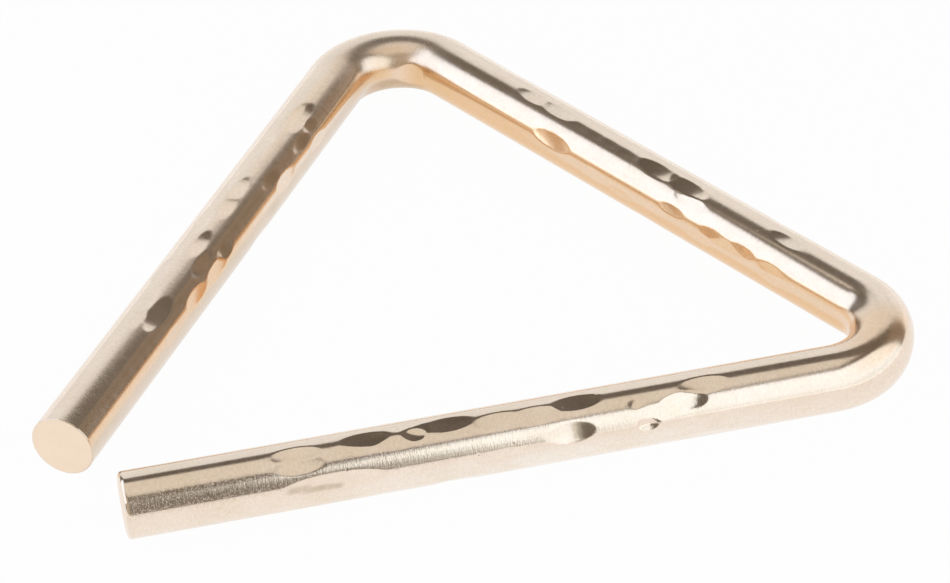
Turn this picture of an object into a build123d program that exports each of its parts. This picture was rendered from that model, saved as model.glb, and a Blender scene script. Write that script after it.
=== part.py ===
# Hand-hammered triangle: one round bronze bar, bent twice, with its third corner left open.
# It lies flat on Z = 0. The closed side runs along X at the back, and the open corner is at the front.
# The origin is under the middle of its bounding box. Lengths are millimetres and angles degrees.
import os
from math import asin, cos, degrees, pi, radians, sin, sqrt, tan

from build123d import *

# The bar
bar_diameter = 12.0
bend_radius = 13.5  # to the bar's axis
left_end_bevel = 0.2
right_end_bevel = 0.5

# The triangle, along the bar's axis, with its corners where the straight sides would meet
closed_side = 161.0
left_corner_angle = 62.0
right_corner_angle = 62.0
left_end_short = 23.5  # how far the left free end stops short of the open corner
right_end_short = 21.0

# The hammered stretch of each side lies between two plain stretches
plain_at_free_end = 26.0
plain_at_bend = 15.0

# The hammer: the crown of its face, and how deep it sinks in a blow
crown_radius = 50.0
face_margin = 1.3  # how many times wider the face is than its deepest mark
light = 0.13
firm = 0.20
heavy = 0.30

# Blows on the sides that face up and in, or up and out: percent of the hammered stretch, clock angle, depth.
# A side's percent starts at its free end, or at the left corner on the closed side.
# The clock angle is 0 on top of the bar and grows towards the outside of the triangle.
left_blows = [
    (10, -28, heavy), (23.5, -64, firm), (31.5, -40, firm), (34, -67, firm),
    (37, -12, firm), (39, -57, light), (52.5, -11, firm), (59.5, -8, firm),
    (67.5, -46, firm), (72.5, -70, firm), (84.5, -51, firm), (91.5, -19, heavy),
]
closed_blows = [
    (14, -7, firm), (24, -7, firm), (27, -63, heavy), (57, -13, firm),
    (66.5, -14, heavy), (66, -65, firm), (70, -40, firm), (79, -66, firm),
    (88.5, -65, firm), (97, -7, firm), (97, -70, firm),
]
right_blows = [
    (5, 16, firm), (6.5, 40, heavy), (12, 73, heavy), (19.5, 6, firm),
    (28, 20, firm), (37, 7, firm), (47, 18, firm), (54, 20, firm),
    (60, 64, firm), (63, 10, firm), (74, 34, light), (79, 57, firm),
    (84.5, 45, firm), (89.5, 19, firm),
]

# Blows on the sides that face away: they are spread evenly, with no two in a row beside each other
away_blows = 5
left_away_start = 60.0
closed_away_start = 40.0
right_away_start = 120.0
away_span = 190.0

# Worked out from the sizes above
bar_radius = bar_diameter / 2
golden_share = (sqrt(5) - 1) / 2
left_turn = radians(left_corner_angle)
right_turn = radians(right_corner_angle)
left_tangent = bend_radius / tan(left_turn / 2)
right_tangent = bend_radius / tan(right_turn / 2)
open_turn = pi - left_turn - right_turn
left_side = closed_side * sin(right_turn) / sin(open_turn) - left_end_short
right_side = closed_side * sin(left_turn) / sin(open_turn) - right_end_short

# Extent of the bar with the left corner at (0, 0): the bends reach furthest sideways, the free ends forward
reach_left = left_tangent - bend_radius - bar_radius
reach_right = closed_side - right_tangent + bend_radius + bar_radius
reach_front = max(
    left_side * sin(left_turn) + (bar_radius - left_end_bevel) * cos(left_turn),
    right_side * sin(right_turn) + (bar_radius - right_end_bevel) * cos(right_turn),
)
middle = Vector((reach_left + reach_right) / 2, (bar_radius - reach_front) / 2, -bar_radius)

# Corners and free ends of the bar's axis, in the part's own frame
left_corner = Vector(0, 0, 0) - middle
right_corner = Vector(closed_side, 0, 0) - middle
left_end = left_corner + Vector(cos(left_turn), -sin(left_turn), 0) * left_side
right_end = right_corner + Vector(-cos(right_turn), -sin(right_turn), 0) * right_side


def blow_planes(start, finish, outward, plain_start, plain_finish, blows):
    """Where the hammer's face stops, one plane a blow, looking out of the bar."""
    along = (finish - start).normalized()
    first = start + along * plain_start
    stretch = (finish - start).length - plain_start - plain_finish
    planes = []
    for percent, clock, depth in blows:
        normal = Vector(0, 0, 1) * cos(radians(clock)) + outward * sin(radians(clock))
        origin = first + along * (stretch * percent / 100) + normal * (bar_radius - depth)
        planes.append(Plane(origin=origin, x_dir=along, z_dir=normal))
    return planes


def away_side(start_angle):
    """Blows on the side of the bar that faces away, stepped round it by the golden share."""
    blows = []
    for index in range(away_blows):
        percent = 100 * (index + 0.5) / away_blows
        clock = start_angle + away_span * (index * golden_share % 1)
        blows.append((percent, clock, (light, firm, firm)[index % 3]))
    return blows


left_outward = Vector(-sin(left_turn), -cos(left_turn), 0)
right_outward = Vector(sin(right_turn), -cos(right_turn), 0)
places = blow_planes(
    left_end, left_corner, left_outward, plain_at_free_end, left_tangent + plain_at_bend,
    left_blows + away_side(left_away_start),
)
places += blow_planes(
    left_corner, right_corner, Vector(0, 1, 0), left_tangent + plain_at_bend, right_tangent + plain_at_bend,
    closed_blows + away_side(closed_away_start),
)
places += blow_planes(
    right_end, right_corner, right_outward, plain_at_free_end, right_tangent + plain_at_bend,
    right_blows + away_side(right_away_start),
)

# The hammer's face: a crowned disc, wider than its deepest mark, with the crown's lowest point at its origin
mark_reach = sqrt(2 * crown_radius * heavy)
face_radius = face_margin * mark_reach
with BuildPart() as hammer_face:
    with BuildSketch(Plane.XZ):
        with BuildLine():
            crown = CenterArc((0, crown_radius), crown_radius, -90, degrees(asin(face_radius / crown_radius)))
            Polyline(crown @ 1, (face_radius, bar_radius), (0, bar_radius), crown @ 0)
        make_face()
    revolve(axis=Axis.Z)

# The bar: bent round, bevelled at both ends, then hammered
with BuildPart() as triangle_bar:
    with BuildLine():
        bar_axis = FilletPolyline(left_end, left_corner, right_corner, right_end, radius=bend_radius)
    with BuildSketch(Plane(origin=bar_axis @ 0, z_dir=bar_axis % 0)):
        Circle(bar_radius)
    sweep()
    for index, bevel in ((0, left_end_bevel), (-1, right_end_bevel)):
        end_face = triangle_bar.faces().filter_by(GeomType.PLANE).sort_by(Axis.X)[index]
        chamfer(end_face.edges(), length=bevel)
    for place in places:
        with Locations(place):
            add(hammer_face.part, clean=False, mode=Mode.SUBTRACT)

triangle_bar.part.label = "triangle_bar"
os.makedirs("parts", exist_ok=True)
export_step(triangle_bar.part, "parts/triangle_bar.step")
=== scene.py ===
"""A hand-hammered bronze triangle, lying flat on a white table in soft studio light."""
from math import cos, pi, radians, sin, sqrt, tan

import bpy
import numpy as np
from mathutils import Matrix, Vector


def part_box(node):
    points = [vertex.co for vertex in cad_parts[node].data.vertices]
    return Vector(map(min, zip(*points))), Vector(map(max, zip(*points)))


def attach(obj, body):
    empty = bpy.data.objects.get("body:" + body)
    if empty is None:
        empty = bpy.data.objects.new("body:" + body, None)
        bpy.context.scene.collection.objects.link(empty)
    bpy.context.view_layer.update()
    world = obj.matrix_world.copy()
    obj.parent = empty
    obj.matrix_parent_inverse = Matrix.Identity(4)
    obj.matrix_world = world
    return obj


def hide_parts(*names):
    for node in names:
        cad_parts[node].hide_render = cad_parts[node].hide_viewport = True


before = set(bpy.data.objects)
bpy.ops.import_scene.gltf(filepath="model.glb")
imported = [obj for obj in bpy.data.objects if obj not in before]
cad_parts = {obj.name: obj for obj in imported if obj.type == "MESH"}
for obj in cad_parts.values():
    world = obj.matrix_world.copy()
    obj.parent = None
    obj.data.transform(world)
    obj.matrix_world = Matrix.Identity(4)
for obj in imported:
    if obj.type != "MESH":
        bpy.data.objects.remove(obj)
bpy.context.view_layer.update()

MM = 0.001
NODE = "triangle_bar"
UP = np.array([0.0, 0.0, 1.0])

# The bar: its thickness and place come from the frame, and the rest are the solid's own sizes
node_low, node_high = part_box(NODE)
bar_radius = (node_high.z - node_low.z) / 2
axis_height = (node_high.z + node_low.z) / 2
closed_side_y = node_high.y - bar_radius
middle_x = (node_high.x + node_low.x) / 2
closed_side = 161.0 * MM
corner_angle = radians(62.0)
bend_radius = 13.5 * MM
left_end_short = 23.5 * MM
right_end_short = 21.0 * MM
plain_at_free_end = 26.0 * MM
plain_at_bend = 15.0 * MM

# Finer forms: the rounded edges of the free ends, and how far a bend flattens outside and swells inside,
# as shares of the bar's radius
left_end_round = 0.2 * MM
right_end_round = 0.8 * MM
end_crease = 0.05 * MM
bend_flat = 0.08
bend_swell = 0.05

# The flat that the bending tool pressed into the left bend: its start, deepest place and end along the bend,
# as shares of it, its clock angle, its depth, and the least cosine of the angle that it reaches round the bar
press_start = 0.50
press_deepest = 0.78
press_end = 1.0
press_clock = radians(-92.0)
press_depth = 0.60 * MM
press_reach = 0.5

# How round the hammers' faces are, from the flattest to the edge of one. The crown is the main hammer's.
broad = 140.0 * MM
wide = 75.0 * MM
crown = 50.0 * MM
small = 36.0 * MM
tight = 25.0 * MM
edge = 8.0 * MM

# How deep a blow sinks, and how round the rim of its mark is
faint = 0.08 * MM
light = 0.13 * MM
firm = 0.20 * MM
heavy = 0.30 * MM
deep = 0.40 * MM
rim_softness = 0.02 * MM

# Blows: percent of the hammered stretch, clock angle in degrees, depth, and the face if it isn't the crown.
# A side's percent starts at its free end, or at the left corner on the closed side.
# The clock angle is 0 on top of the bar and grows towards the outside of the triangle.
left_blows = [
    (10.5, -29, heavy), (23.5, -65.5, firm), (31.5, -38.5, firm), (34.5, -67, firm),
    (37, -12, firm), (40, -57, firm, tight), (52.5, -11, firm), (59.5, -8, firm),
    (67.5, -45, light), (72.5, -70, firm), (84.5, -50, light), (91.5, -12, firm, wide),
    (92, -22, firm, wide), (7.5, -3, light), (14.5, 3, firm), (10, -78, light), (25, 21, firm),
    (45, 13, firm), (79, 8, firm), (91, -43, light, tight), (91, -76, light),
]
closed_blows = [
    (14.5, -8, firm), (23, -8, firm, wide), (26.5, -66, heavy), (57, -13, heavy),
    (66.5, -14, heavy), (66, -66.5, light), (69.5, -36.5, firm), (79, -69, light),
    (88, -67, light), (96.5, -7, firm), (97, -71, light),
    (31.5, -15, faint, broad), (36.5, -15, faint, broad), (41.5, -15, faint, broad),
    (46.5, -15.5, faint, broad), (61.5, -12, firm, tight), (83.5, -74, light, broad),
    (41, -86, light), (75, -90, light), (15, -95, light), (50, -92, light), (98, -90, light),
]
right_blows = [
    (5, 17, heavy, small), (5.5, 37, heavy, small), (12, 76, heavy, broad), (19.5, 10.5, heavy, small),
    (36.5, 8, heavy, small), (46.5, 20, heavy, small), (54, 22, heavy, small),
    (60.5, 64, deep, tight), (63, 11, heavy, small), (74.5, 34, light, edge), (79.5, 57, firm),
    (84.5, 46, deep, tight), (89, 20, heavy, small),
    (17, 22, light), (25.5, 27, light), (28.5, -2, light), (76.5, 72, heavy, edge),
    (47, 83, light), (38, 90, faint), (27, 88, faint), (88, 84, faint), (88.5, -13, light, tight),
    (30.5, 8, firm, small), (29.5, 16, deep, edge),
]

# Blows on the sides that face away: how many on a side, how far round the bar they go and where they start
away_blows = 15
away_span = 190.0
left_away_start = 60.0
closed_away_start = 40.0
right_away_start = 120.0

# Scuffs on the right side: percent and clock angle as for a blow, their length, and their height in degrees
scuff_places = ((11.7, 84, 3.0 * MM, 9), (8.3, 82.5, 5.0 * MM, 10), (4.8, 78.5, 4.0 * MM, 11))

# Mesh steps along the bar and round it, and the rings on the flat face of an end, as shares of its radius
plain_step = 1.5 * MM
hammered_step = 0.45 * MM
bend_step = 0.7 * MM
round_steps = 128
edge_steps = 7
face_shares = np.array([0.05, 0.25, 0.5, 0.75, 0.9])

# The texture map: its name, the gap between its rows, and how near to a row's start a ring counts as in it
map_name = "OFBake"
row_gap = 0.02
row_tolerance = 1e-9

# Colours of the bronze, of its tones and of its cut ends
bronze_dark = (0.855, 0.71, 0.58)
bronze_light = (0.89, 0.755, 0.635)
smudge_colour = (0.78, 0.66, 0.48)
# Painted reflection of the bright table, low on the outside of the right side
pale_reflection_colour = (0.94, 0.88, 0.81)
# Painted warm reflection of the table lit by light off the bronze, inside the triangle and at the bends
warm_reflection_colour = (0.82, 0.54, 0.31)
# Painted shade: the darker, shadowed table inside the triangle as the bronze reflects it
painted_shade_colour = (0.40, 0.32, 0.24)
scuff_colour = (0.42, 0.34, 0.22)
# Painted warm reflection round the pressed flat inside the left bend
bend_reflection_colour = (0.80, 0.53, 0.29)
cut_dark = (0.91, 0.735, 0.58)
cut_light = (0.93, 0.76, 0.605)

# Patterns in the bronze: how many spots or lines lie in a metre, up the bar, across it and along it
mottle_spots = (220, 220, 160)
smudge_spots = (130, 130, 80)
coarse_lines_spots = (400, 400, 1500)
fine_lines_spots = (900, 900, 4000)
grain_spots = (1500, 1500, 2200)
speck_spots = (4800, 4800, 4800)
nick_spots = (140, 140, 140)
wear_spots = (500, 500, 900)
cut_mottle_spots = (400, 90, 400)
cut_grain_spots = (3000, 600, 3000)

# Finish of the bronze: how deep its relief is, how rough it is, how much smoother a mark and rougher a bend
# is, and how far the grinding round the bar stretches its reflections
relief_depth = 0.035 * MM
cut_relief_depth = 0.01 * MM
smoothest = 0.14
roughest = 0.18
mark_roughness = -0.06
bend_roughness = 0.12
cut_smoothest = 0.28
cut_roughest = 0.36
ground_stretch = 0.35

# Camera, at the photograph's viewing angle. Compass angles are 0 in front of the object and 90 on its right.
camera_target = Vector((4.98, 17.08, 6.0)) * MM
camera_distance = 637.8 * MM
camera_compass = 50.55
camera_height = 35.60
camera_roll = -3.02
camera_lens = 129.75
camera_sensor = 36.0
camera_nearest = 10.0 * MM

# The table, and the dim room round it
floor_size = 30.0
floor_drop = 0.01 * MM
floor_white = 0.97
paper_colour = (0.85, 0.85, 0.85, 1.0)
glow_colour = (1.0, 1.0, 1.0, 1.0)
room_dark = (0.125, 0.11, 0.095)
room_light = (0.205, 0.182, 0.158)
room_stops = (0.3, 0.7)
room_scale = 3.0

# Soft boxes: the middle of each in millimetres, the compass angle and height that its back faces, in degrees,
# its width and height in millimetres, and its radiance. Where boxes overlap, the light fades towards an edge.
lamps = {
    "sweep": ((-655, 753, 750), 228, -32, (1375, 1780), (0.73, 0.77, 0.805)),
    "left_box": ((-305, -450, 202), 304, 68, (650, 640), (1.07, 1.19, 1.39)),
    "left_card": ((-600, -650, 45), 317, 0, (700, 90), (0.60, 0.55, 0.44)),
    "left_card_top": ((-600, -650, 75), 317, 0, (700, 150), (0.45, 0.40, 0.31)),
    "back_card": ((115, 700, 260), 171, 0, (300, 520), (0.09, 0.055, 0.025)),
    "right_box": ((321, 155, 250), 110, 2, (615, 500), (0.84, 0.94, 1.01)),
    "right_box_middle": ((321, 155, 270), 110, 2, (615, 460), (0.10, 0.11, 0.13)),
    "right_box_top": ((321, 155, 295), 110, 2, (615, 410), (0.10, 0.11, 0.13)),
    "right_wing": ((438, -166, 235), 110, 2, (70, 390), (0.25, 0.27, 0.25)),
    "right_wing_low": ((431, -146, 95), 110, 2, (27, 110), (0.40, 0.41, 0.40)),
    "right_wing_middle": ((432, -151, 300), 110, 2, (38, 300), (0.85, 0.95, 1.00)),
    "right_wing_tip": ((444, -184, 345), 110, 2, (32, 180), (0.85, 0.95, 1.00)),
    "overhead": ((27, -48, 627), 215, 88, (645, 535), (0.64, 0.62, 0.575)),
    "front_fill": ((225, -458, 448), 30, 0, (580, 895), (0.30, 0.26, 0.20)),
}

# Worked out from the sizes above
clocks = np.linspace(-pi, pi, round_steps, endpoint=False)
tangent_length = bend_radius / tan(corner_angle / 2)
full_side = closed_side * sin(corner_angle) / sin(pi - 2 * corner_angle)
left_length = full_side - left_end_short - tangent_length
closed_length = closed_side - 2 * tangent_length
bend_length = bend_radius * (pi - corner_angle)
right_length = full_side - right_end_short - tangent_length

# Corners and free ends of the bar's axis, and the way along each side from the left end to the right one
left_corner = np.array([middle_x - closed_side / 2, closed_side_y, axis_height])
right_corner = np.array([middle_x + closed_side / 2, closed_side_y, axis_height])
left_along = np.array([-cos(corner_angle), sin(corner_angle), 0.0])
closed_along = np.array([1.0, 0.0, 0.0])
right_along = np.array([-cos(corner_angle), -sin(corner_angle), 0.0])
left_end = left_corner - left_along * (left_length + tangent_length)
right_end = right_corner + right_along * (right_length + tangent_length)


def away_side(start_angle):
    """Blows on the side of the bar that faces away, stepped round it by the golden share."""
    golden_share = (sqrt(5) - 1) / 2
    blows = []
    for index in range(away_blows):
        percent = 100 * (index + 0.5) / away_blows
        clock = start_angle + away_span * (index * golden_share % 1)
        blows.append((percent, clock, (light, firm, firm)[index % 3]))
    return blows


def smooth(value, low, high):
    """A number that rises smoothly from 0 at low to 1 at high."""
    share = np.clip((value - low) / (high - low), 0, 1)
    return share * share * (3 - 2 * share)


def within(value, rise_low, rise_high, fall_low, fall_high):
    """A share that rises smoothly from 0 to 1 and falls again."""
    return smooth(value, rise_low, rise_high) * (1 - smooth(value, fall_low, fall_high))


def soft_min(one, other, softness):
    """The smaller of two heights, with the crease between them rounded."""
    share = np.clip(0.5 + 0.5 * (other - one) / softness, 0, 1)
    return other * (1 - share) + one * share - softness * share * (1 - share)


def hammered(stations, blows):
    """The bar's radius at each station and clock angle, after the blows."""
    radius = np.full((len(stations), round_steps), bar_radius)
    for station, clock, depth, *face in blows:
        roundness = face[0] if face else crown
        reach = bar_radius - depth + roundness
        turn = clocks[None, :] - radians(clock)
        under = roundness ** 2 - (stations[:, None] - station) ** 2 - (reach * np.sin(turn)) ** 2
        facing = (under > 0) & (np.cos(turn) > 0)
        mark = np.where(facing, reach * np.cos(turn) - np.sqrt(np.maximum(under, 0)), 2 * bar_radius)
        radius = soft_min(radius, mark, rim_softness)
    return radius


class Rings:
    """The rings of the bar's skin, from its left free end to its right one."""

    def __init__(self):
        self.place = []
        self.centre = []
        self.outward = []
        self.radius = []

    def add(self, place, centre, outward, radius):
        """Rings at these places along the bar, with their centres, outward directions and radii."""
        self.place.append(place)
        self.centre.append(centre)
        self.outward.append(np.broadcast_to(outward, centre.shape))
        self.radius.append(np.broadcast_to(radius, (len(place), round_steps)))

    def joined(self):
        """The places, centres, outward directions and radii of all rings."""
        parts = (self.place, self.centre, self.outward, self.radius)
        return [np.concatenate(part) for part in parts]


def spread(start, finish, step):
    """Evenly spaced numbers from start up to finish, without finish."""
    count = max(1, round((finish - start) / step))
    return np.linspace(start, finish, count, endpoint=False)


def add_side(rings, begun, start, along, length, plain_start, plain_finish, blows):
    """A straight side, hammered between its two plain stretches. Returns its place's end."""
    stations = np.concatenate([
        spread(0 if begun else left_end_round + end_crease, plain_start, plain_step),
        spread(plain_start, length - plain_finish, hammered_step),
        spread(length - plain_finish, length - right_end_round - end_crease, plain_step),
    ])
    stretch = length - plain_start - plain_finish
    placed = [(plain_start + stretch * percent / 100, *blow) for percent, *blow in blows]
    centre = start + stations[:, None] * along
    rings.add(begun + stations, centre, np.cross(UP, along), hammered(stations, placed))
    return begun + length


def add_bend(rings, begun, pivot, outward, pressed):
    """A bend about its pivot. The bar flattens a little outside it and swells a little inside,
    and where it was pressed, the swelling has a flat that deepens along the bend and ends round."""
    turn = pi - corner_angle
    angles = spread(0, turn, bend_step / bend_radius)
    outwards = np.stack([
        outward[0] * np.cos(angles) + outward[1] * np.sin(angles),
        outward[1] * np.cos(angles) - outward[0] * np.sin(angles),
        0 * angles,
    ], axis=1)
    strain = np.sin(pi * angles / turn)[:, None] ** 2
    outside = np.maximum(np.sin(clocks), 0) ** 3
    inside = np.maximum(-np.sin(clocks), 0) ** 3
    radius = bar_radius * (1 + strain * (bend_swell * inside - bend_flat * outside))
    if pressed:
        along = angles / turn
        ending = np.clip((along - press_deepest) / (press_end - press_deepest), 0, 1)
        sunk = (press_depth * smooth(along, press_start, press_deepest) * (1 - ending ** 2))[:, None]
        level = bar_radius * (1 + strain * bend_swell) - sunk
        across = np.cos(clocks - press_clock)
        reached = (across > press_reach) & (sunk > 0)
        flat = np.where(reached, level / np.maximum(across, press_reach), 2 * bar_radius)
        radius = soft_min(radius, flat, rim_softness)
    rings.add(begun + angles * bend_radius, pivot + outwards * bend_radius, outwards, radius)
    return begun + turn * bend_radius


def add_end(rings, place, end, inward, outward, rounding, into):
    """A free end: a flat face with a rounded edge.
    Into is 1 where the rings leave this end and -1 where they arrive at it."""
    face_radius = bar_radius - rounding
    turns = np.linspace(0, pi / 2, edge_steps)
    depth = np.concatenate([0 * face_shares, [0], rounding * (1 - np.cos(turns))])
    radius = np.concatenate([
        face_radius * face_shares, [face_radius - end_crease], face_radius + rounding * np.sin(turns),
    ])
    if into < 0:
        depth = np.append(depth, rounding + end_crease)[::-1]
        radius = np.append(radius, bar_radius)[::-1]
    across_face = np.maximum(face_radius - radius, 0)
    rings.add(place + into * (depth - across_face), end + depth[:, None] * inward, outward, radius[:, None])


def bar_rings():
    """All rings of the bar, and the place along it where each of its rows on the texture map starts."""
    rings = Rings()
    half = corner_angle / 2
    to_pivot = bend_radius / sin(half)
    left_pivot = left_corner + to_pivot * np.array([cos(half), -sin(half), 0.0])
    right_pivot = right_corner + to_pivot * np.array([-cos(half), -sin(half), 0.0])
    from_end = [(100 - percent, *blow) for percent, *blow in right_blows + away_side(right_away_start)]
    add_end(rings, 0.0, left_end, left_along, np.cross(UP, left_along), left_end_round, 1)
    place = add_side(
        rings, 0.0, left_end, left_along, left_length,
        plain_at_free_end, plain_at_bend, left_blows + away_side(left_away_start),
    )
    place = add_bend(rings, place, left_pivot, np.cross(UP, left_along), pressed=True)
    closed_place = place
    place = add_side(
        rings, place, left_corner + closed_along * tangent_length, closed_along, closed_length,
        plain_at_bend, plain_at_bend, closed_blows + away_side(closed_away_start),
    )
    place = add_bend(rings, place, right_pivot, np.cross(UP, closed_along), pressed=False)
    right_place = place
    place = add_side(
        rings, place, right_corner + right_along * tangent_length, right_along, right_length,
        plain_at_bend, plain_at_free_end, from_end,
    )
    add_end(rings, place, right_end, -right_along, np.cross(UP, right_along), right_end_round, -1)
    return rings.joined(), (-bar_radius, closed_place, right_place)


def make_bar():
    """The bar's skin as one closed mesh, with the attributes that its material reads."""
    (place, centre, outward, radius), row_starts = bar_rings()
    ring_count = len(place)
    across = np.sin(clocks)[None, :] * radius
    upright = np.cos(clocks)[None, :] * radius
    points = centre[:, None, :] + upright[..., None] * UP + across[..., None] * outward[:, None, :]
    poles = np.stack([points[0].mean(0), points[-1].mean(0)])
    vertices = np.concatenate([points.reshape(-1, 3), poles])

    ring = np.arange(ring_count - 1)[:, None]
    step = np.arange(round_steps)[None, :]
    following = (step + 1) % round_steps
    quads = np.stack([
        ring * round_steps + step, (ring + 1) * round_steps + step,
        (ring + 1) * round_steps + following, ring * round_steps + following,
    ], axis=-1).reshape(-1, 4)
    first_pole = ring_count * round_steps
    last_ring = (ring_count - 1) * round_steps
    fans = [(first_pole, index, (index + 1) % round_steps) for index in range(round_steps)]
    fans += [
        (first_pole + 1, last_ring + (index + 1) % round_steps, last_ring + index)
        for index in range(round_steps)
    ]

    mesh = bpy.data.meshes.new("hammered_bar")
    mesh.from_pydata(vertices.tolist(), [], quads.tolist() + fans)
    mesh.shade_smooth()
    flat_rings = len(face_shares)
    on_end = np.zeros(len(mesh.polygons), dtype=np.int32)
    on_end[:flat_rings * round_steps] = 1
    on_end[len(quads) - flat_rings * round_steps:] = 1
    mesh.polygons.foreach_set("material_index", on_end)

    skin = np.stack([upright, across, np.repeat(place[:, None], round_steps, axis=1)], axis=-1)
    ends = np.array([[0, 0, place[0]], [0, 0, place[-1]]])
    places = np.concatenate([skin.reshape(-1, 3), ends])
    bar_place = mesh.attributes.new("bar_place", "FLOAT_VECTOR", "POINT")
    bar_place.data.foreach_set("vector", places.astype(np.float32).ravel())

    # Only the straight sides are struck: a bend's own shape isn't a mark
    straight = np.abs(radius.max(1) - bar_radius) < rim_softness
    sunk = np.where(straight[:, None], (bar_radius - radius) / light, 0).clip(0, 1)
    add_shares(mesh, "struck", sunk)

    normals = np.zeros(len(mesh.vertices) * 3, dtype=np.float32)
    mesh.vertex_normals.foreach_get("vector", normals)
    normals = normals.reshape(-1, 3)[:-2].reshape(ring_count, round_steps, 3)
    lean = np.degrees(np.arctan2((normals * outward[:, None, :]).sum(-1), normals[..., 2]))
    for name, shares in tones(place[:, None], -lean, row_starts).items():
        add_shares(mesh, name, shares)

    add_map(mesh, place, row_starts)
    bar = bpy.data.objects.new("hammered_bar", mesh)
    bpy.context.scene.collection.objects.link(bar)
    return bar


def add_shares(mesh, name, shares):
    """An attribute with one share for each vertex on the rings, and none at the two poles."""
    attribute = mesh.attributes.new(name, "FLOAT", "POINT")
    attribute.data.foreach_set("value", np.concatenate([shares.ravel(), [0, 0]]).astype(np.float32))


def tones(place, down, row_starts):
    """The share of each tone at each place, where the skin faces so many degrees down into the triangle. Some
    tones are painted reflections and painted shade.
    Places along a bend or side are shares of it, and places round the bar are degrees."""
    left_share = place / left_length
    left_bend = (place - left_length) / bend_length
    closed_share = (place - row_starts[1]) / closed_length
    right_bend = (place - row_starts[1] - closed_length) / bend_length
    right_share = (place - row_starts[2]) / right_length
    hammered_end = row_starts[2] + right_length - plain_at_free_end
    hammered_length = right_length - plain_at_free_end - plain_at_bend
    before_bend = 1 - smooth(left_bend, 0.0, 0.4)

    # Painted warm reflection of the table lit by light off the bronze: on the inside of the closed side, less
    # so in a thin band of it, low near the left free end, in a band along the left side, and at both bends
    along_closed = smooth(left_bend, 0.25, 1) * (1 - smooth(right_bend, 0.3, 0.8))
    paler = 0.1 + 0.4 * smooth(closed_share, 0.2, 0.4)
    closed = along_closed * within(down, 60, 70, 120, 160) * (1 - paler * within(down, 70, 78, 86, 98))
    left = 0.6 * (1 - smooth(left_share, 0.45, 0.7)) * within(down, 56, 64, 70, 86)
    band = (0.1 + 0.2 * smooth(left_share, 0.25, 1)) * before_bend * within(down, -5, 15, 54, 60)
    at_left_bend = 0.4 * within(left_bend, 0.1, 0.4, 0.6, 0.9) * smooth(down, 24, 36)
    at_right_bend = 0.5 * within(right_bend, 0.2, 0.5, 0.7, 1.1) * smooth(down, -60, -45)

    # Painted warm reflection and painted shade round the flat inside the left bend, and painted shade low
    # on the inside of the left side
    before_flat = within(left_bend, -0.3, 0.0, 0.35, 0.6) * within(down, 66, 74, 88, 100)
    below_flat = within(left_bend, -0.05, 0.3, 0.95, 1.3) * smooth(down, 92, 108)
    after_flat = within(left_bend, 0.65, 0.98, 1.1, 1.5) * smooth(down, 66, 76)
    low = before_bend * smooth(down, 72, 84)

    # Rough where the bar was bent, most at the left bend
    rough_left = within(left_bend, -0.4, 0.2, 0.8, 1.3)
    rough_right = 0.2 * within(right_bend, 0.0, 0.3, 0.7, 1.0)

    # The outside of the right side: brushed, a painted pale reflection of the table low down, and sanded
    # towards its free end
    brushed = smooth(right_bend, 0.7, 1.1) * within(-down, 25, 40, 66, 80)
    along_right = 0.15 * smooth(right_bend, 0.5, 1.0) + 0.35 * within(right_share, 0.0, 0.25, 0.55, 0.8)
    towards_end = smooth(place, hammered_end - hammered_length / 2, hammered_end)

    return {
        # painted warm reflection
        "painted_warm_reflection": np.maximum.reduce([closed, left, at_left_bend + at_right_bend, band]),
        # painted warm reflection at the left bend
        "painted_bend_reflection": np.maximum.reduce([0.7 * before_flat, 0.3 * below_flat, 0.8 * after_flat]),
        # painted shade
        "painted_shade": np.maximum(0.28 * low, 0.65 * below_flat),
        "scuffed": scuffs(hammered_end - place, hammered_length),
        "brushed": brushed,
        "bent": np.broadcast_to(np.maximum(rough_left, rough_right), down.shape),
        # painted pale reflection
        "painted_pale_reflection": along_right * smooth(-down, 68, 98),
        "sanded": 0.1 + 0.5 * towards_end * smooth(-down, 25, 45),
    }


def scuffs(from_end, hammered_length):
    """The share of the soft scuffs, so far from the free end of the right side's hammered stretch."""
    scuffed = np.zeros((len(from_end), round_steps))
    for percent, clock, length, height in scuff_places:
        aside = np.abs(hammered_length * percent / 100 - from_end)
        above = np.abs(np.degrees(clocks) - clock)
        along = 1 - smooth(aside, 0.3 * length, 0.7 * length)
        around = 1 - smooth(above, 0.3 * height, 0.7 * height)
        scuffed = np.maximum(scuffed, along * around)
    return scuffed


def add_map(mesh, place, row_starts):
    """A texture map with the bar unrolled in three rows, one a side, all at one scale."""
    scale = (1 - 2 * row_gap) / (row_starts[1] - row_starts[0])
    around = 2 * pi * bar_radius * scale
    row = np.searchsorted(row_starts, place + row_tolerance, side="right") - 1
    begins = row_gap - np.array(row_starts)[row] * scale
    v_base = row_gap + row * (around + row_gap)
    v_first = v_base[:, None] + around * np.arange(round_steps) / round_steps
    v_second = v_first + around / round_steps
    u_first = np.repeat((begins[:-1] + place[:-1] * scale)[:, None], round_steps, axis=1)
    u_second = np.repeat((begins[:-1] + place[1:] * scale)[:, None], round_steps, axis=1)
    sides = np.stack([
        u_first, v_first[:-1], u_second, v_first[:-1], u_second, v_second[:-1], u_first, v_second[:-1],
    ], axis=-1)
    fans = []
    for ring, beyond, one, other in ((0, -1, v_first, v_second), (-1, 1, v_second, v_first)):
        rim = np.full(round_steps, begins[ring] + place[ring] * scale)
        pole = rim + beyond * face_shares[0] * bar_radius * scale
        middle = (one[ring] + other[ring]) / 2
        fans.append(np.stack([pole, middle, rim, one[ring], rim, other[ring]], axis=-1).ravel())
    layer = mesh.uv_layers.new(name=map_name)
    layer.uv.foreach_set("vector", np.concatenate([sides.ravel(), *fans]).astype(np.float32))


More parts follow.
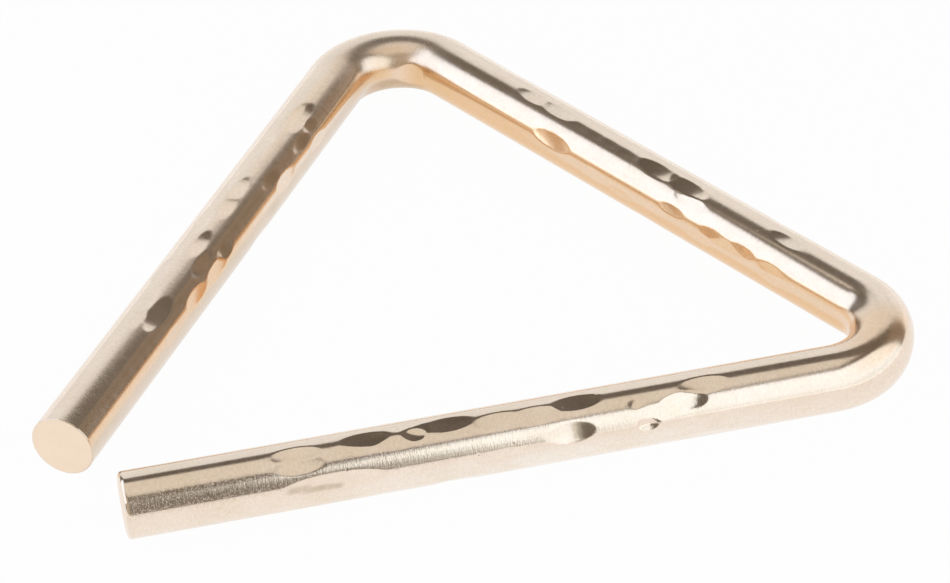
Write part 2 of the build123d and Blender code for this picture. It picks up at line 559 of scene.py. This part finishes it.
class Shader:
    """A material's node tree, with short ways to add nodes to it."""

    def __init__(self, name):
        self.material = bpy.data.materials.new(name)
        self.material.use_nodes = True
        self.tree = self.material.node_tree
        self.tree.nodes.clear()

    def feed(self, socket, value):
        """Links an input to another node's output, or sets it."""
        if isinstance(value, bpy.types.NodeSocket):
            self.tree.links.new(value, socket)
        else:
            socket.default_value = value

    def node(self, kind, inputs=None, **settings):
        """A new node, with its settings and inputs."""
        node = self.tree.nodes.new(kind)
        for name, value in settings.items():
            setattr(node, name, value)
        for name, value in (inputs or {}).items():
            self.feed(node.inputs[name], value)
        return node

    def share(self, name):
        """One of the mesh's shares."""
        return self.node("ShaderNodeAttribute", attribute_name=name).outputs["Fac"]

    def place(self):
        """The place on the bar: up, across and along it, in metres."""
        return self.node("ShaderNodeAttribute", attribute_name="bar_place").outputs["Vector"]

    def math(self, operation, *values, clamp=False):
        """The result of a sum, a product or the like."""
        node = self.node("ShaderNodeMath", dict(enumerate(values)), operation=operation, use_clamp=clamp)
        return node.outputs[0]

    def times(self, one, other, clamp=False):
        """A product of two values."""
        return self.math("MULTIPLY", one, other, clamp=clamp)

    def plus(self, one, other):
        """A sum of two values."""
        return self.math("ADD", one, other)

    def stretched(self, vector, scale):
        """A vector multiplied by another."""
        node = self.node("ShaderNodeVectorMath", {0: vector, 1: scale}, operation="MULTIPLY")
        return node.outputs[0]

    def noise(self, place, spots, detail=2.0, roughness=0.5):
        """A soft random pattern with so many spots in a metre."""
        vector = self.stretched(place, spots)
        inputs = {"Vector": vector, "Scale": 1.0, "Detail": detail, "Roughness": roughness}
        return self.node("ShaderNodeTexNoise", inputs).outputs["Fac"]

    def between(self, value, low, high, to_low, to_high):
        """A value from one range carried to another, held at its ends."""
        inputs = {"Value": value, "From Min": low, "From Max": high, "To Min": to_low, "To Max": to_high}
        return self.node("ShaderNodeMapRange", inputs).outputs["Result"]

    def mixed(self, share, one, other):
        """One colour turning into the other."""
        node = self.node("ShaderNodeMix", {0: share}, data_type="RGBA")
        for index, colour in ((6, one), (7, other)):
            self.feed(node.inputs[index], (*colour, 1.0) if isinstance(colour, tuple) else colour)
        return node.outputs[2]

    def bump(self, height, depth):
        """A relief that stands so far out of the surface."""
        inputs = {"Strength": 1.0, "Distance": depth, "Height": height}
        return self.node("ShaderNodeBump", inputs).outputs["Normal"]

    def metal(self, colour, roughness, normal, **more):
        """The finished material, a bare metal."""
        inputs = {"Base Color": colour, "Metallic": 1.0, "Roughness": roughness, "Normal": normal, **more}
        return self.finish(self.node("ShaderNodeBsdfPrincipled", inputs).outputs["BSDF"])

    def finish(self, surface):
        """The finished material, with this surface."""
        self.node("ShaderNodeOutputMaterial", {"Surface": surface})
        return self.material


def bronze_colour(shader, place):
    """Mottled and smudged pale bronze, with painted pale and warm reflections, painted shade, scuffs, and a
    painted warm reflection at the left bend.
    """
    mottle = shader.noise(place, mottle_spots, detail=4.0, roughness=0.6)
    smudges = shader.noise(place, smudge_spots, detail=6.0, roughness=0.7)
    grain = shader.noise(place, grain_spots, detail=2.0, roughness=0.7)
    painted_pale_reflection = shader.times(shader.share("painted_pale_reflection"), shader.between(smudges, 0.35, 0.65, 1.5, 0.5), clamp=True)
    painted_shade = shader.times(shader.share("painted_shade"), shader.between(mottle, 0.35, 0.65, 0.75, 1.2), clamp=True)
    scuffed = shader.times(shader.share("scuffed"), shader.between(mottle, 0.35, 0.65, 0.35, 0.75))

    colour = shader.mixed(shader.between(mottle, 0.35, 0.65, 0.0, 1.0), bronze_dark, bronze_light)
    colour = shader.mixed(shader.between(smudges, 0.5, 0.72, 0.0, 0.6), colour, smudge_colour)
    # Painted pale reflection
    colour = shader.mixed(painted_pale_reflection, colour, pale_reflection_colour)
    # Painted warm reflection
    colour = shader.mixed(shader.share("painted_warm_reflection"), colour, warm_reflection_colour)
    # Painted shade
    colour = shader.mixed(painted_shade, colour, painted_shade_colour)
    colour = shader.mixed(scuffed, colour, scuff_colour)
    # Painted warm reflection at the left bend
    colour = shader.mixed(shader.share("painted_bend_reflection"), colour, bend_reflection_colour)
    brightness = shader.between(grain, 0.3, 0.7, 0.955, 1.045)
    return shader.node("ShaderNodeHueSaturation", {"Color": colour, "Value": brightness}).outputs["Color"]


def bronze_relief(shader, place, struck):
    """Grinding lines round the bar, stronger where it is brushed, specks, sanded pits and a few nicks.
    A hammer mark keeps only a little of the lines, specks and pits."""
    coarse_lines = shader.noise(place, coarse_lines_spots, detail=2.0, roughness=0.6)
    fine_lines = shader.noise(place, fine_lines_spots, detail=1.0)
    specks = shader.noise(place, speck_spots, detail=1.0)
    lines = shader.plus(shader.times(coarse_lines, 0.15), shader.times(fine_lines, 0.15))
    lines = shader.plus(lines, shader.times(fine_lines, shader.times(shader.share("brushed"), 0.2)))
    lines = shader.plus(lines, shader.times(specks, 0.1))
    pits = shader.times(shader.between(specks, 0.58, 0.70, 0.0, -0.5), shader.share("sanded"))
    ground = shader.times(shader.plus(lines, pits), shader.between(struck, 0.1, 0.6, 1.0, 0.3))
    cells = shader.node(
        "ShaderNodeTexVoronoi", {"Vector": shader.stretched(place, nick_spots), "Scale": 1.0},
    ).outputs["Distance"]
    return shader.plus(ground, shader.between(cells, 0.02, 0.05, -0.5, 0.0))


def bronze():
    """Polished pale bronze, ground round the bar, smoother where the hammer struck and rougher at a bend."""
    shader = Shader("bronze")
    place = shader.place()
    struck = shader.share("struck")
    wear = shader.noise(place, wear_spots, detail=3.0)
    roughness = shader.plus(
        shader.between(wear, 0.3, 0.7, smoothest, roughest),
        shader.between(struck, 0.1, 0.6, 0.0, mark_roughness),
    )
    roughness = shader.plus(roughness, shader.times(shader.share("bent"), bend_roughness))
    normal = shader.bump(bronze_relief(shader, place, struck), relief_depth)
    tangent = shader.node("ShaderNodeTangent", direction_type="UV_MAP", uv_map=map_name).outputs["Tangent"]
    return shader.metal(
        bronze_colour(shader, place), roughness, normal, Anisotropic=ground_stretch, Tangent=tangent,
    )


def cut_bronze():
    """The free ends, sawn and faced: a fine even grain without grinding lines."""
    shader = Shader("cut_bronze")
    place = shader.place()
    mottle = shader.noise(place, cut_mottle_spots, detail=4.0, roughness=0.6)
    colour = shader.mixed(shader.between(mottle, 0.3, 0.7, 0.0, 1.0), cut_dark, cut_light)
    grain = shader.noise(place, cut_grain_spots, detail=2.0)
    roughness = shader.between(grain, 0.3, 0.7, cut_smoothest, cut_roughest)
    return shader.metal(colour, roughness, shader.bump(grain, cut_relief_depth))


def white_table():
    """A white floor that the camera and mirrors see as white, with the object's shadow kept faint."""
    shader = Shader("white_table")
    path = shader.node("ShaderNodeLightPath").outputs
    seen = shader.math("MAXIMUM", path["Is Camera Ray"], path["Is Glossy Ray"])
    seen = shader.math("MAXIMUM", seen, path["Is Transmission Ray"])
    paper = shader.node("ShaderNodeBsdfDiffuse", {"Color": paper_colour}).outputs[0]
    glow = shader.node("ShaderNodeEmission", {"Color": glow_colour, "Strength": 1.0}).outputs[0]
    inputs = {0: shader.times(seen, floor_white), 1: paper, 2: glow}
    return shader.finish(shader.node("ShaderNodeMixShader", inputs).outputs[0])


def direction(compass, height):
    """The direction from the object to a compass angle and a height above the table, in degrees."""
    turn, rise = radians(compass), radians(height)
    return Vector((sin(turn) * cos(rise), -cos(turn) * cos(rise), sin(rise)))


def add_lamp(name, place, compass, height, size, radiance):
    """A rectangular soft box with its back to a compass angle and a height.
    At this power, the colour of a lamp is its radiance."""
    lamp = bpy.data.lights.new(name, "AREA")
    lamp.shape = "RECTANGLE"
    lamp.size = size[0] * MM
    lamp.size_y = size[1] * MM
    lamp.color = radiance
    lamp.energy = pi * lamp.size * lamp.size_y
    body = bpy.data.objects.new(name, lamp)
    body.location = Vector(place) * MM
    body.rotation_mode = "QUATERNION"
    body.rotation_quaternion = direction(compass, height).to_track_quat("Z", "Y")
    body.visible_camera = False
    bpy.context.scene.collection.objects.link(body)


def add_floor():
    """The table top, just under the bar."""
    half = floor_size / 2
    corners = [(x, y, -floor_drop) for x, y in ((-half, -half), (half, -half), (half, half), (-half, half))]
    mesh = bpy.data.meshes.new("table")
    mesh.from_pydata(corners, [], [(0, 1, 2, 3)])
    mesh.materials.append(white_table())
    floor = bpy.data.objects.new("table", mesh)
    bpy.context.scene.collection.objects.link(floor)


def add_studio():
    """A dim, uneven room with soft boxes and cards round the table."""
    world = bpy.data.worlds.new("room")
    world.use_nodes = True
    nodes, links = world.node_tree.nodes, world.node_tree.links
    around = nodes.new("ShaderNodeTexCoord").outputs["Generated"]
    patches = nodes.new("ShaderNodeTexNoise")
    patches.inputs["Scale"].default_value = room_scale
    ramp = nodes.new("ShaderNodeValToRGB")
    for stop, place, colour in zip(ramp.color_ramp.elements, room_stops, (room_dark, room_light)):
        stop.position = place
        stop.color = (*colour, 1.0)
    links.new(around, patches.inputs["Vector"])
    links.new(patches.outputs["Fac"], ramp.inputs["Fac"])
    links.new(ramp.outputs["Color"], nodes["Background"].inputs["Color"])
    bpy.context.scene.world = world
    for name, values in lamps.items():
        add_lamp(name, *values)


def add_camera():
    """The camera, turned to its target and rolled a little."""
    camera = bpy.data.objects.new("camera", bpy.data.cameras.new("camera"))
    back = direction(camera_compass, camera_height)
    level = Vector((cos(radians(camera_compass)), sin(radians(camera_compass)), 0.0))
    upright = back.cross(level)
    roll = radians(camera_roll)
    right = level * cos(roll) + upright * sin(roll)
    above = back.cross(right)
    place = camera_target + back * camera_distance
    camera.matrix_world = Matrix((
        (right.x, above.x, back.x, place.x),
        (right.y, above.y, back.y, place.y),
        (right.z, above.z, back.z, place.z),
        (0.0, 0.0, 0.0, 1.0),
    ))
    camera.data.lens = camera_lens
    camera.data.sensor_width = camera_sensor
    camera.data.clip_start = camera_nearest
    bpy.context.scene.collection.objects.link(camera)
    bpy.context.scene.camera = camera


bar = make_bar()
bar.data.materials.append(bronze())
bar.data.materials.append(cut_bronze())
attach(bar, "root")
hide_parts(NODE)
add_floor()
add_studio()
add_camera()
bpy.context.scene.view_settings.view_transform = "Standard"
